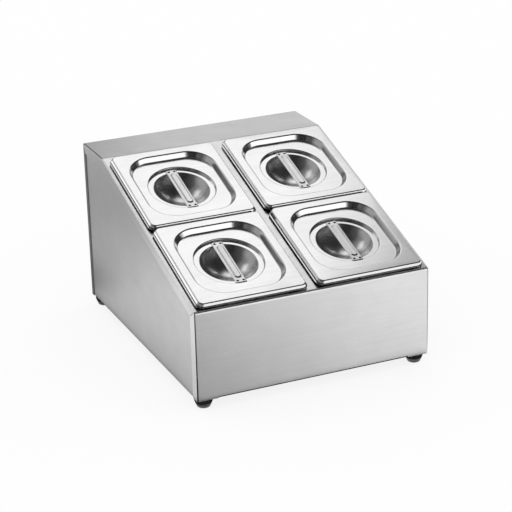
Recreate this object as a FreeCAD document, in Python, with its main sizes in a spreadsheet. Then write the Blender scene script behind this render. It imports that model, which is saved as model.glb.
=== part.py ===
import FreeCAD, Part
import math
import os
import Sketcher

# Condiment tray: a folded sheet-steel stand whose sloping deck holds four lidded pans, two by two.
# X is to the right, Y to the back and Z up. The origin is on the table, midway between the sides
# and midway between front and back.

document = FreeCAD.newDocument("condiment_tray")
sizes = document.addObject("Spreadsheet::Sheet", "sizes")
worked = document.addObject("Spreadsheet::Sheet", "worked")

# Driving dimensions in millimetres. A name that ends in share is a plain ratio.
DRIVING = {
    # Stand: heights are measured from the lower edge of the panels
    "body_width": "360",
    "body_depth": "440",
    "front_height": "133",
    "back_height": "249",
    "top_depth": "86",
    "panel_sheet": "1",
    "panel_play": "0.4",
    "bend_round_share": "0.8",
    # Folded edges of the stand
    "deck_setback": "2",
    "deck_flange": "14.5",
    "front_return": "16",
    "back_return": "10",
    "top_return": "9",
    "bottom_return": "20",
    "foot_flange": "30",
    # Feet and their screws
    "foot_height": "15",
    "foot_diameter": "27",
    "foot_tip_diameter": "19",
    "foot_round": "3.5",
    "foot_inset": "15",
    "foot_seat_depth": "7",
    "screw_diameter": "5",
    "screw_play": "0.5",
    "screw_head_diameter": "9",
    "screw_head_height": "3",
    "screw_end": "2",
    "washer_diameter": "10",
    "washer_thickness": "1",
    "washer_play": "1",
    "nut_width": "8",
    "nut_height": "4",
    # Places of the pans on the deck, and their cut-outs
    "column_gap": "14.5",
    "row_gap": "4.2",
    "front_margin": "3.7",
    "cutout_play": "1.2",
    "collar_height": "3",
    # Pans
    "pan_width": "166",
    "pan_length": "176",
    "pan_depth": "100",
    "pan_sheet": "0.8",
    "pan_side_rim": "12.5",
    "pan_end_rim": "10.5",
    "pan_rim_corner": "9",
    "pan_lip_drop": "1.6",
    "pan_taper": "10",
    "pan_mouth_corner": "22",
    "pan_floor_corner": "18",
    "pan_floor_round": "10",
    # Lids
    "lid_height": "5.8",
    "lid_side_inset": "2",
    "lid_sheet": "0.8",
    "lid_corner": "8.5",
    "lid_bend": "2",
    "recess_side_margin": "14",
    "recess_end_margin": "14.5",
    "recess_depth": "8",
    "recess_run": "4.4",
    "recess_corner": "40",
    "recess_round": "2.5",
    "well_diameter": "101",
    "well_depth": "3.7",
    "well_round": "0.6",
    "bowl_diameter": "83",
    "bowl_depth": "22",
    # Lid handles
    "strap_length": "94",
    "strap_width": "16.8",
    "strap_thickness": "1.4",
    "strap_corner": "2",
    "bead_length": "74",
    "bead_width": "10.4",
    "bead_height": "1.2",
    "bead_corner_share": "0.48",
    # How far a cut runs past the face that it opens, and how near two places count as one
    "overrun": "1",
    "match_share": "0.0001",
}

# Sizes that follow from the driving ones.
FOLLOWING = {
    "slope": "=atan2(sizes.back_height - sizes.front_height; sizes.body_depth - sizes.top_depth)",
    "front_y": "=-sizes.body_depth / 2",
    "back_y": "=sizes.body_depth / 2",
    "knee_y": "=back_y - sizes.top_depth",
    "base_z": "=sizes.foot_height",
    "front_z": "=sizes.foot_height + sizes.front_height",
    "back_z": "=sizes.foot_height + sizes.back_height",
    "side_x": "=sizes.body_width / 2",
    "bend_round": "=sizes.panel_sheet * sizes.bend_round_share",
    "inner_width": "=sizes.body_width - 4 * sizes.panel_sheet - 2 * sizes.panel_play",
    "foot_x": "=side_x - sizes.foot_inset",
    "foot_y": "=back_y - sizes.foot_inset",
    "screw_hole": "=sizes.screw_diameter + sizes.screw_play",
    "rim_top": "=sizes.collar_height + sizes.pan_sheet",
    "pan_floor_z": "=rim_top - sizes.pan_depth",
    "mouth_width": "=sizes.pan_width - 2 * sizes.pan_side_rim",
    "mouth_length": "=sizes.pan_length - 2 * sizes.pan_end_rim",
    "cutout_width": "=mouth_width + 2 * sizes.pan_sheet + 2 * sizes.cutout_play",
    "cutout_length": "=mouth_length + 2 * sizes.pan_sheet + 2 * sizes.cutout_play",
    "cutout_corner": "=sizes.pan_mouth_corner + sizes.pan_sheet + sizes.cutout_play",
    "lid_top": "=rim_top + sizes.lid_height",
    "lid_width": "=sizes.pan_width - 2 * sizes.lid_side_inset",
    "recess_width": "=lid_width - 2 * sizes.recess_side_margin",
    "recess_length": "=sizes.pan_length - 2 * sizes.recess_end_margin",
    "floor_width": "=recess_width - 2 * sizes.recess_run",
    "floor_length": "=recess_length - 2 * sizes.recess_run",
    "floor_corner": "=sizes.recess_corner - sizes.recess_run",
    "floor_z": "=lid_top - sizes.recess_depth",
    "ledge_z": "=floor_z - sizes.well_depth",
}


def fill_sheet(sheet, entries):
    for row, (alias, text) in enumerate(entries.items(), start=1):
        cell = f"B{row}"
        sheet.set(f"A{row}", alias)
        sheet.set(cell, text)
        sheet.setAlias(cell, alias)


fill_sheet(sizes, DRIVING)
document.recompute()
fill_sheet(worked, FOLLOWING)
document.recompute()


def value(formula):
    """The number that a formula of sheet names stands for."""
    result = sizes.evalExpression(formula)
    return float(getattr(result, "Value", result))


def bind(item, formulas):
    for name, formula in formulas.items():
        item.setExpression(name, formula)


def new_body(label):
    body = document.addObject("PartDesign::Body", label)
    body.Label = label
    return body


def sketch_on(body, name, role, along="0"):
    """A sketch on one of the body's own origin planes, moved along that plane's normal."""
    sketch = body.newObject("Sketcher::SketchObject", name)
    plane = next(item for item in body.Origin.OriginFeatures if item.Role == role)
    sketch.AttachmentSupport = [(plane, "")]
    sketch.MapMode = "FlatFace"
    sketch.setExpression("AttachmentOffset.Base.z", along)
    return sketch


def constrain(sketch, formula, kind, *places):
    index = sketch.addConstraint(Sketcher.Constraint(kind, *places, value(formula)))
    sketch.setExpression(f"Constraints[{index}]", formula)


def outline(sketch, corners):
    """A closed outline of straight edges through corners given as pairs of formulas."""
    points = [FreeCAD.Vector(value(across), value(up), 0) for across, up in corners]
    count = len(points)
    for index in range(count):
        sketch.addGeometry(Part.LineSegment(points[index], points[(index + 1) % count]), False)
    for index in range(count):
        sketch.addConstraint(Sketcher.Constraint("Coincident", index, 2, (index + 1) % count, 1))
    for index, (across, up) in enumerate(corners):
        constrain(sketch, across, "DistanceX", -1, 1, index, 1)
        constrain(sketch, up, "DistanceY", -1, 1, index, 1)


def rounded_rectangle(sketch, width, length, corner):
    """A rectangle with round corners, centred on the sketch's origin."""
    half_width = value(width) / 2
    half_length = value(length) / 2
    radius = value(corner)
    normal = FreeCAD.Vector(0, 0, 1)
    quarter = math.pi / 2
    first = sketch.GeometryCount
    across = half_width - radius
    up = half_length - radius
    sides = [((-across, -half_length), (across, -half_length)), ((half_width, -up), (half_width, up)),
             ((across, half_length), (-across, half_length)), ((-half_width, up), (-half_width, -up))]
    centres = [(across, -up), (across, up), (-across, up), (-across, -up)]
    for turn, (side, centre) in enumerate(zip(sides, centres)):
        ends = [FreeCAD.Vector(*point, 0) for point in side]
        sketch.addGeometry(Part.LineSegment(*ends), False)
        arc = Part.Circle(FreeCAD.Vector(*centre, 0), normal, radius)
        sketch.addGeometry(Part.ArcOfCircle(arc, (turn - 1) * quarter, turn * quarter), False)
    bottom, right, top, left = [first + 2 * step for step in range(4)]
    for step in range(8):
        joined = first + (step + 1) % 8
        sketch.addConstraint(Sketcher.Constraint("Tangent", first + step, 2, joined, 1))
    for side, direction in ((bottom, "Horizontal"), (right, "Vertical"), (top, "Horizontal"), (left, "Vertical")):
        sketch.addConstraint(Sketcher.Constraint(direction, side))
    for step in (3, 5, 7):
        sketch.addConstraint(Sketcher.Constraint("Equal", first + 1, first + step))
    sketch.addConstraint(Sketcher.Constraint("Symmetric", bottom, 1, top, 1, -1, 1))
    constrain(sketch, corner, "Radius", first + 1)
    constrain(sketch, width, "DistanceX", left, 1, right, 1)
    constrain(sketch, length, "DistanceY", bottom, 1, top, 1)


def circle(sketch, diameter, across="0", up="0"):
    index = sketch.GeometryCount
    centre = FreeCAD.Vector(value(across), value(up), 0)
    sketch.addGeometry(Part.Circle(centre, FreeCAD.Vector(0, 0, 1), value(diameter) / 2), False)
    constrain(sketch, across, "DistanceX", -1, 1, index, 3)
    constrain(sketch, up, "DistanceY", -1, 1, index, 3)
    constrain(sketch, diameter, "Diameter", index)


def extrude(kind, body, sketch, name, length, symmetric=False, reverse=False):
    feature = body.newObject(f"PartDesign::{kind}", name)
    feature.Profile = sketch
    feature.SideType = "Symmetric" if symmetric else "One side"
    feature.Reversed = reverse
    feature.setExpression("Length", length)
    document.recompute()
    return feature


def pad(body, sketch, name, length, **ways):
    return extrude("Pad", body, sketch, name, length, **ways)


def pocket(body, sketch, name, length, **ways):
    before = body.Shape.Volume
    feature = extrude("Pocket", body, sketch, name, length, **ways)
    if body.Shape.Volume >= before:
        raise ValueError(f"{name} cuts nothing")
    return feature


def loft(kind, body, name, start, end):
    feature = body.newObject(f"PartDesign::{kind}", name)
    feature.Profile = start
    feature.Sections = [end]
    feature.Ruled = True
    document.recompute()
    return feature


def turned(kind, body, sketch, name):
    feature = body.newObject(f"PartDesign::{kind}", name)
    feature.Profile = sketch
    feature.ReferenceAxis = (sketch, ["V_Axis"])
    document.recompute()
    return feature


def near(one, other):
    return abs(one - other) < value("sizes.panel_sheet * sizes.match_share")


def edges_where(feature, test):
    """Names of the feature's edges whose end points all pass the test."""
    names = []
    for index, edge in enumerate(feature.Shape.Edges, start=1):
        if all(test(vertex.Point) for vertex in edge.Vertexes):
            names.append(f"Edge{index}")
    return names


def round_edges(body, feature, name, test, radius):
    rounded = body.newObject("PartDesign::Fillet", name)
    rounded.Base = (feature, edges_where(feature, test))
    rounded.setExpression("Radius", radius)
    document.recompute()
    return rounded


def hollow(body, feature, name, face_test, wall):
    """Leaves a wall of even thickness inside the feature, open at one face."""
    faces = feature.Shape.Faces
    open_faces = [f"Face{index}" for index, face in enumerate(faces, start=1) if face_test(face)]
    shell = body.newObject("PartDesign::Thickness", name)
    shell.Base = (feature, open_faces)
    shell.Reversed = True
    shell.Join = "Intersection"
    shell.setExpression("Value", wall)
    document.recompute()
    return shell


def under_slope(across, depth):
    """Height of the plane that lies a given depth under the deck's sloping top."""
    rise = f"({across} - worked.front_y) * tan(worked.slope)"
    return f"worked.front_z + {rise} - ({depth}) / cos(worked.slope)"


def knee_under(depth):
    """Where the folded deck turns level, a given depth under its top."""
    return (f"worked.knee_y + ({depth}) * tan(worked.slope / 2)", f"worked.back_z - ({depth})")


COLUMNS = {"left": "-1", "right": "1"}
ROWS = {"front": "0", "back": "1"}
CORNERS = [(row, column) for row in ROWS for column in COLUMNS]


def pan_centre(row, column):
    """Centre of a pan on the deck's top, as formulas for X, Y and Z."""
    pitch = "(sizes.pan_length + sizes.row_gap)"
    along = f"(sizes.front_margin + sizes.pan_length / 2 + {ROWS[row]} * {pitch})"
    return {
        "x": f"{COLUMNS[column]} * (sizes.pan_width + sizes.column_gap) / 2",
        "y": f"worked.front_y + {along} * cos(worked.slope)",
        "z": f"worked.front_z + {along} * sin(worked.slope)",
    }


def lay_on_deck(item, placement_name, row, column):
    """Turns and moves a body or a sketch so that its Z stands square to the deck at a pan's centre."""
    tilt = FreeCAD.Rotation(FreeCAD.Vector(1, 0, 0), value("worked.slope"))
    setattr(item, placement_name, FreeCAD.Placement(FreeCAD.Vector(0, 0, 0), tilt))
    item.setExpression(f"{placement_name}.Rotation.Angle", "worked.slope")
    for axis, formula in pan_centre(row, column).items():
        item.setExpression(f"{placement_name}.Base.{axis}", formula)


# Top deck: one sheet folded at the knee, with a down-turned flange along each side
# and a drawn collar round each of the four cut-outs, on which a pan's rim rests.

def make_top_deck():
    deck = new_body("top_deck")
    front_edge = "worked.front_y + sizes.deck_setback"
    back_edge = "worked.back_y - sizes.deck_setback"
    top_line = [(front_edge, under_slope(front_edge, "0")), ("worked.knee_y", "worked.back_z"),
                (back_edge, "worked.back_z")]
    under_line = [(back_edge, "worked.back_z - sizes.panel_sheet"), knee_under("sizes.panel_sheet"),
                  (front_edge, under_slope(front_edge, "sizes.panel_sheet"))]
    fold = sketch_on(deck, "deck_fold", "YZ_Plane")
    outline(fold, top_line + under_line)
    pad(deck, fold, "deck_sheet", "sizes.body_width", symmetric=True)

    flange_front = "worked.front_y + sizes.front_return"
    flange_line = [("worked.back_y - sizes.back_return", "worked.back_z - sizes.deck_flange"),
                   knee_under("sizes.deck_flange"),
                   (flange_front, under_slope(flange_front, "sizes.deck_flange"))]
    for side, start in (("left", "-worked.side_x"), ("right", "worked.side_x - sizes.panel_sheet")):
        profile = sketch_on(deck, f"{side}_flange_outline", "YZ_Plane", start)
        outline(profile, top_line + flange_line)
        flanged = pad(deck, profile, f"{side}_flange", "sizes.panel_sheet")

    top_points = [(value(across), value(up)) for across, up in top_line]

    def on_side_bend(point):
        at_side = near(abs(point.x), value("worked.side_x"))
        return at_side and any(near(point.y, y) and near(point.z, z) for y, z in top_points)

    round_edges(deck, flanged, "side_bends", on_side_bend, "worked.bend_round")

    for row, column in CORNERS:
        rim_seat = sketch_on(deck, f"{row}_{column}_collar_outline", "XY_Plane")
        lay_on_deck(rim_seat, "AttachmentOffset", row, column)
        rounded_rectangle(rim_seat, "worked.cutout_width + 2 * sizes.panel_sheet",
                          "worked.cutout_length + 2 * sizes.panel_sheet",
                          "worked.cutout_corner + sizes.panel_sheet")
        pad(deck, rim_seat, f"{row}_{column}_collar", "sizes.collar_height")
        opening = sketch_on(deck, f"{row}_{column}_cutout_outline", "XY_Plane")
        lay_on_deck(opening, "AttachmentOffset", row, column)
        rounded_rectangle(opening, "worked.cutout_width", "worked.cutout_length", "worked.cutout_corner")
        through = "2 * (sizes.collar_height + sizes.panel_sheet + sizes.overrun)"
        pocket(deck, opening, f"{row}_{column}_cutout", through, symmetric=True)
    return deck


# Front panel: folded sheet. Its side returns lap over the side panels and stop at a mitre
# under the deck's flange, its top return lies under the deck and its bottom return turns in.

def make_front_panel():
    panel = new_body("front_panel")
    outer = "worked.front_y"
    inner = "worked.front_y + sizes.panel_sheet"
    return_edge = "worked.front_y + sizes.front_return"
    top_edge = "worked.front_y + sizes.top_return"
    bottom_edge = "worked.front_y + sizes.bottom_return"
    sheet = "sizes.panel_sheet"

    face = sketch_on(panel, "front_face_outline", "YZ_Plane")
    outline(face, [(outer, "worked.base_z"), (inner, "worked.base_z"),
                   (inner, under_slope(inner, sheet)), (outer, under_slope(outer, sheet))])
    pad(panel, face, "front_face", "sizes.body_width", symmetric=True)

    mitre_end = f"{under_slope(return_edge, 'sizes.deck_flange')} - sizes.panel_play"
    side_line = [(inner, "worked.base_z"), (return_edge, "worked.base_z"),
                 (return_edge, mitre_end), (inner, under_slope(inner, sheet))]
    for side, start in (("left", "-worked.side_x"), ("right", "worked.side_x - sizes.panel_sheet")):
        profile = sketch_on(panel, f"front_{side}_return_outline", "YZ_Plane", start)
        outline(profile, side_line)
        pad(panel, profile, f"front_{side}_return", sheet)

    top_fold = sketch_on(panel, "front_top_return_outline", "YZ_Plane")
    outline(top_fold, [(inner, under_slope(inner, sheet)), (top_edge, under_slope(top_edge, sheet)),
                       (top_edge, under_slope(top_edge, f"2 * {sheet}")),
                       (inner, under_slope(inner, f"2 * {sheet}"))])
    pad(panel, top_fold, "front_top_return", "worked.inner_width", symmetric=True)

    bottom_fold = sketch_on(panel, "front_bottom_return_outline", "YZ_Plane")
    outline(bottom_fold, [(inner, "worked.base_z"), (bottom_edge, "worked.base_z"),
                          (bottom_edge, f"worked.base_z + {sheet}"), (inner, f"worked.base_z + {sheet}")])
    folded = pad(panel, bottom_fold, "front_bottom_return", "worked.inner_width - 2 * sizes.foot_flange",
                 symmetric=True)

    def on_front_corner(point):
        return near(abs(point.x), value("worked.side_x")) and near(point.y, value(outer))

    round_edges(panel, folded, "front_corner_bends", on_front_corner, "worked.bend_round")
    return panel


# Back panel: folded like the front panel, with narrower side returns.

def make_back_panel():
    panel = new_body("back_panel")
    outer = "worked.back_y"
    inner = "worked.back_y - sizes.panel_sheet"
    return_edge = "worked.back_y - sizes.back_return"
    top_edge = "worked.back_y - sizes.top_return"
    bottom_edge = "worked.back_y - sizes.bottom_return"
    under_deck = "worked.back_z - sizes.panel_sheet"

    face = sketch_on(panel, "back_face_outline", "YZ_Plane")
    outline(face, [(inner, "worked.base_z"), (outer, "worked.base_z"), (outer, under_deck), (inner, under_deck)])
    pad(panel, face, "back_face", "sizes.body_width", symmetric=True)

    mitre_end = "worked.back_z - sizes.deck_flange - sizes.panel_play"
    side_line = [(return_edge, "worked.base_z"), (inner, "worked.base_z"), (inner, under_deck),
                 (return_edge, mitre_end)]
    for side, start in (("left", "-worked.side_x"), ("right", "worked.side_x - sizes.panel_sheet")):
        profile = sketch_on(panel, f"back_{side}_return_outline", "YZ_Plane", start)
        outline(profile, side_line)
        pad(panel, profile, f"back_{side}_return", "sizes.panel_sheet")

    folds = (("top", top_edge, f"{under_deck} - sizes.panel_sheet", "worked.inner_width"),
             ("bottom", bottom_edge, "worked.base_z", "worked.inner_width - 2 * sizes.foot_flange"))
    for name, edge, low, width in folds:
        profile = sketch_on(panel, f"back_{name}_return_outline", "YZ_Plane")
        high = f"{low} + sizes.panel_sheet"
        outline(profile, [(edge, low), (inner, low), (inner, high), (edge, high)])
        folded = pad(panel, profile, f"back_{name}_return", width, symmetric=True)

    def on_back_corner(point):
        return near(abs(point.x), value("worked.side_x")) and near(point.y, value(outer))

    round_edges(panel, folded, "back_corner_bends", on_back_corner, "worked.bend_round")
    return panel


# Side panels: flat sheets inside the returns of the other panels. Their in-turned bottom
# flanges carry the feet, two on each side.

def make_side_panel(column):
    panel = new_body(f"{column}_side_panel")
    hand = COLUMNS[column]
    front_edge = "worked.front_y + sizes.panel_sheet"
    back_edge = "worked.back_y - sizes.panel_sheet"
    middle = f"{hand} * (worked.side_x - 1.5 * sizes.panel_sheet)"
    face = sketch_on(panel, f"{column}_face_outline", "YZ_Plane", f"{middle} - sizes.panel_sheet / 2")
    outline(face, [(front_edge, "worked.base_z"), (back_edge, "worked.base_z"),
                   (back_edge, "worked.back_z - sizes.panel_sheet"), knee_under("sizes.panel_sheet"),
                   (front_edge, under_slope(front_edge, "sizes.panel_sheet"))])
    pad(panel, face, f"{column}_face", "sizes.panel_sheet")

    flange = sketch_on(panel, f"{column}_foot_flange_outline", "XY_Plane", "worked.base_z")
    outer = f"{hand} * (worked.side_x - sizes.panel_sheet)"
    inner = f"{hand} * (worked.side_x - 2 * sizes.panel_sheet - sizes.foot_flange)"
    corners = [(inner, front_edge), (outer, front_edge), (outer, back_edge), (inner, back_edge)]
    outline(flange, corners)
    pad(panel, flange, f"{column}_foot_flange", "sizes.panel_sheet")

    holes = sketch_on(panel, f"{column}_foot_hole_outlines", "XY_Plane", "worked.base_z")
    for end in ("-1", "1"):
        circle(holes, "worked.screw_hole", f"{hand} * worked.foot_x", f"{end} * worked.foot_y")
    pocket(panel, holes, f"{column}_foot_holes", "2 * (sizes.panel_sheet + sizes.overrun)", symmetric=True)
    return panel


# Feet: tapered rubber bumpers with a seat for the washer and the screw head in their tip.

FOOT_END = {"front": "-1", "back": "1"}


def foot_place(row, column):
    return f"{COLUMNS[column]} * worked.foot_x", f"{FOOT_END[row]} * worked.foot_y"


def make_foot(row, column):
    foot = new_body(f"{row}_{column}_foot")
    profile = sketch_on(foot, f"{row}_{column}_foot_outline", "XZ_Plane")
    hole = "worked.screw_hole / 2"
    seat = "(sizes.washer_diameter + sizes.washer_play) / 2"
    outline(profile, [(hole, "sizes.foot_seat_depth"), (seat, "sizes.foot_seat_depth"), (seat, "0"),
                      ("sizes.foot_tip_diameter / 2", "0"), ("sizes.foot_diameter / 2", "sizes.foot_height"),
                      (hole, "sizes.foot_height")])
    turn = turned("Revolution", foot, profile, f"{row}_{column}_foot_turn")
    tip_radius = value("sizes.foot_tip_diameter") / 2

    def on_tip(point):
        return near(point.z, 0) and near((point.x ** 2 + point.y ** 2) ** 0.5, tip_radius)

    round_edges(foot, turn, f"{row}_{column}_foot_tip", on_tip, "sizes.foot_round")
    across, along = foot_place(row, column)
    bind(foot, {"Placement.Base.x": across, "Placement.Base.y": along})
    return foot


# Foot screws, washers and nuts: four of each, one group for each kind.

def cylinder(name, diameter, height, place, low):
    solid = document.addObject("Part::Cylinder", name)
    bind(solid, {"Radius": f"({diameter}) / 2", "Height": height, "Placement.Base.x": place[0],
                 "Placement.Base.y": place[1], "Placement.Base.z": low})
    return solid


def combine(kind, name, base, tool):
    result = document.addObject(f"Part::{kind}", name)
    result.Base = base
    result.Tool = tool
    return result


def make_group(label, members):
    group = document.addObject("Part::Compound", label)
    group.Label = label
    group.Links = members
    return group


def make_foot_screw(row, column):
    place = foot_place(row, column)
    name = f"{row}_{column}_screw"
    head_top = "sizes.foot_seat_depth - sizes.washer_thickness"
    head = cylinder(f"{name}_head", "sizes.screw_head_diameter", "sizes.screw_head_height", place,
                    f"{head_top} - sizes.screw_head_height")
    shank_end = "worked.base_z + sizes.panel_sheet + sizes.nut_height + sizes.screw_end"
    shank_low = f"{head_top} - sizes.screw_head_height / 2"
    shank = cylinder(f"{name}_shank", "sizes.screw_diameter", f"{shank_end} - ({shank_low})", place, shank_low)
    return combine("Fuse", name, head, shank)


def make_foot_washer(row, column):
    place = foot_place(row, column)
    name = f"{row}_{column}_washer"
    low = "sizes.foot_seat_depth - sizes.washer_thickness"
    disc = cylinder(f"{name}_disc", "sizes.washer_diameter", "sizes.washer_thickness", place, low)
    hole = cylinder(f"{name}_hole", "worked.screw_hole", "sizes.washer_thickness + 2 * sizes.overrun", place,
                    f"{low} - sizes.overrun")
    return combine("Cut", name, disc, hole)


def make_foot_nut(row, column):
    place = foot_place(row, column)
    name = f"{row}_{column}_nut"
    low = "worked.base_z + sizes.panel_sheet"
    block = document.addObject("Part::Prism", f"{name}_block")
    block.Polygon = 6
    bind(block, {"Circumradius": "sizes.nut_width / 2 / cos(30 deg)", "Height": "sizes.nut_height",
                 "Placement.Base.x": place[0], "Placement.Base.y": place[1], "Placement.Base.z": low})
    hole = cylinder(f"{name}_hole", "worked.screw_hole", "sizes.nut_height + 2 * sizes.overrun", place,
                    f"{low} - sizes.overrun")
    return combine("Cut", name, block, hole)


# Pans: deep-drawn tubs with tapering walls, a flat rim that rests on the collar
# and a short lip turned down from the rim's edge.

def make_pan(row, column):
    pan = new_body(f"{row}_{column}_pan")
    name = pan.Label
    wall = "2 * sizes.pan_sheet"
    mouth = sketch_on(pan, f"{name}_mouth", "XY_Plane", "worked.rim_top")
    rounded_rectangle(mouth, f"worked.mouth_width + {wall}", f"worked.mouth_length + {wall}",
                      "sizes.pan_mouth_corner + sizes.pan_sheet")
    floor = sketch_on(pan, f"{name}_floor", "XY_Plane", "worked.pan_floor_z")
    rounded_rectangle(floor, f"worked.mouth_width - 2 * sizes.pan_taper + {wall}",
                      f"worked.mouth_length - 2 * sizes.pan_taper + {wall}",
                      "sizes.pan_floor_corner + sizes.pan_sheet")
    loft("AdditiveLoft", pan, f"{name}_tub", mouth, floor)

    inner_mouth = sketch_on(pan, f"{name}_inner_mouth", "XY_Plane", "worked.rim_top")
    rounded_rectangle(inner_mouth, "worked.mouth_width", "worked.mouth_length", "sizes.pan_mouth_corner")
    inner_floor = sketch_on(pan, f"{name}_inner_floor", "XY_Plane", "worked.pan_floor_z + sizes.pan_sheet")
    rounded_rectangle(inner_floor, "worked.mouth_width - 2 * sizes.pan_taper",
                      "worked.mouth_length - 2 * sizes.pan_taper", "sizes.pan_floor_corner")
    tub = loft("SubtractiveLoft", pan, f"{name}_inside", inner_mouth, inner_floor)
    floor_z = value("worked.pan_floor_z")
    inside_z = value("worked.pan_floor_z + sizes.pan_sheet")
    bent = round_edges(pan, tub, f"{name}_floor_bend", lambda point: near(point.z, floor_z),
                       "sizes.pan_floor_round")
    round_edges(pan, bent, f"{name}_inside_bend", lambda point: near(point.z, inside_z),
                "sizes.pan_floor_round - sizes.pan_sheet")

    rim = sketch_on(pan, f"{name}_rim_outline", "XY_Plane", "sizes.collar_height")
    rounded_rectangle(rim, "sizes.pan_width", "sizes.pan_length", "sizes.pan_rim_corner")
    rounded_rectangle(rim, "worked.mouth_width", "worked.mouth_length", "sizes.pan_mouth_corner")
    pad(pan, rim, f"{name}_rim", "sizes.pan_sheet")

    lip = sketch_on(pan, f"{name}_lip_outline", "XY_Plane", "sizes.collar_height - sizes.pan_lip_drop")
    rounded_rectangle(lip, "sizes.pan_width", "sizes.pan_length", "sizes.pan_rim_corner")
    rounded_rectangle(lip, f"sizes.pan_width - {wall}", f"sizes.pan_length - {wall}",
                      "sizes.pan_rim_corner - sizes.pan_sheet")
    pad(pan, lip, f"{name}_lip", "sizes.pan_lip_drop")
    lay_on_deck(pan, "Placement", row, column)
    return pan


# Lids: one pressing each. A skirt stands on the pan's rim; inside it are a rounded square
# recess, a round step whose ledge carries the handle, and a deep bowl for the fingers.

def make_lid(row, column):
    lid = new_body(f"{row}_{column}_lid")
    name = lid.Label
    sheet = "sizes.lid_sheet"
    both = "2 * sizes.lid_sheet"
    top = value("worked.lid_top")
    low = value("worked.rim_top")

    cap = sketch_on(lid, f"{name}_cap_outline", "XY_Plane", "worked.rim_top")
    rounded_rectangle(cap, "worked.lid_width", "sizes.pan_length", "sizes.lid_corner")
    block = pad(lid, cap, f"{name}_cap", "sizes.lid_height")
    bent = round_edges(lid, block, f"{name}_cap_bend", lambda point: near(point.z, top), "sizes.lid_bend")
    hollow(lid, bent, f"{name}_cap_inside", lambda face: near(face.BoundBox.ZMax, low), sheet)

    def recess(part, width, length, corner, height):
        sketch = sketch_on(lid, f"{name}_{part}", "XY_Plane", height)
        rounded_rectangle(sketch, width, length, corner)
        return sketch

    outer_top = recess("recess_outer_top", f"worked.recess_width + {both}", f"worked.recess_length + {both}",
                       f"sizes.recess_corner + {sheet}", f"worked.lid_top - {sheet} / 2")
    outer_floor = recess("recess_outer_floor", f"worked.floor_width + {both}", f"worked.floor_length + {both}",
                         f"worked.floor_corner + {sheet}", f"worked.floor_z - {sheet}")
    loft("AdditiveLoft", lid, f"{name}_recess_outer", outer_top, outer_floor)

    step = sketch_on(lid, f"{name}_step_outer", "XY_Plane", f"worked.ledge_z - {sheet}")
    circle(step, f"sizes.well_diameter + {both}")
    pad(lid, step, f"{name}_step", "sizes.well_depth")

    def bowl(kind, part, growth):
        sketch = sketch_on(lid, f"{name}_{part}_outline", "XZ_Plane")
        radius = f"(sizes.bowl_diameter / 2 + {growth})"
        depth = f"(sizes.bowl_depth + {growth})"
        sphere = f"({radius} * {radius} + {depth} * {depth}) / (2 * {depth})"
        mouth_z = value("worked.ledge_z")
        centre_z = mouth_z - value(depth) + value(sphere)
        centre = FreeCAD.Vector(0, centre_z, 0)
        bottom = FreeCAD.Vector(0, mouth_z - value(depth), 0)
        edge = FreeCAD.Vector(value(radius), mouth_z, 0)
        axis_top = FreeCAD.Vector(0, mouth_z, 0)
        ball = Part.Circle(centre, FreeCAD.Vector(0, 0, 1), value(sphere))
        arc = Part.ArcOfCircle(ball, ball.parameter(bottom), ball.parameter(edge))
        sketch.addGeometry(arc, False)
        sketch.addGeometry(Part.LineSegment(edge, axis_top), False)
        sketch.addGeometry(Part.LineSegment(axis_top, bottom), False)
        for first, first_end, other, other_end in ((0, 2, 1, 1), (1, 2, 2, 1), (2, 2, 0, 1)):
            sketch.addConstraint(Sketcher.Constraint("Coincident", first, first_end, other, other_end))
        sketch.addConstraint(Sketcher.Constraint("PointOnObject", 0, 3, -2))
        sketch.addConstraint(Sketcher.Constraint("PointOnObject", 1, 2, -2))
        sketch.addConstraint(Sketcher.Constraint("PointOnObject", 2, 2, -2))
        sketch.addConstraint(Sketcher.Constraint("Horizontal", 1))
        constrain(sketch, radius, "DistanceX", 1, 2, 1, 1)
        constrain(sketch, depth, "DistanceY", 2, 2, 2, 1)
        constrain(sketch, "worked.ledge_z", "DistanceY", -1, 1, 1, 2)
        return turned(kind, lid, sketch, f"{name}_{part}")

    bowl("Revolution", "bowl_outer", sheet)

    inner_top = recess("recess_inner_top", "worked.recess_width", "worked.recess_length", "sizes.recess_corner",
                       "worked.lid_top")
    inner_floor = recess("recess_inner_floor", "worked.floor_width", "worked.floor_length",
                         "worked.floor_corner", "worked.floor_z")
    loft("SubtractiveLoft", lid, f"{name}_recess_inner", inner_top, inner_floor)

    well = sketch_on(lid, f"{name}_well_outline", "XY_Plane", "worked.floor_z")
    circle(well, "sizes.well_diameter")
    pocket(lid, well, f"{name}_well", "sizes.well_depth")
    pressed = bowl("Groove", "bowl_inner", "0")

    floor_z = value("worked.floor_z")
    well_radius = value("sizes.well_diameter") / 2
    recess_half = value("worked.recess_length") / 2

    def on_recess_edge(point):
        inside = abs(point.y) < recess_half + value(sheet) / 2
        return near(point.z, top) and inside

    def on_recess_floor(point):
        at_well = near((point.x ** 2 + point.y ** 2) ** 0.5, well_radius)
        return near(point.z, floor_z) and not at_well

    rolled = round_edges(lid, pressed, f"{name}_recess_roll", on_recess_edge, "sizes.recess_round")
    rounded = round_edges(lid, rolled, f"{name}_recess_round", on_recess_floor, "sizes.recess_round")

    def on_well_edge(point):
        at_well = near((point.x ** 2 + point.y ** 2) ** 0.5, well_radius)
        return near(point.z, floor_z) and at_well

    round_edges(lid, rounded, f"{name}_well_round", on_well_edge, "sizes.well_round")
    lay_on_deck(lid, "Placement", row, column)
    return lid


# Lid handles: a flat strap across the bowl, stiffened by a long bead, welded to the ledge at both ends.

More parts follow.
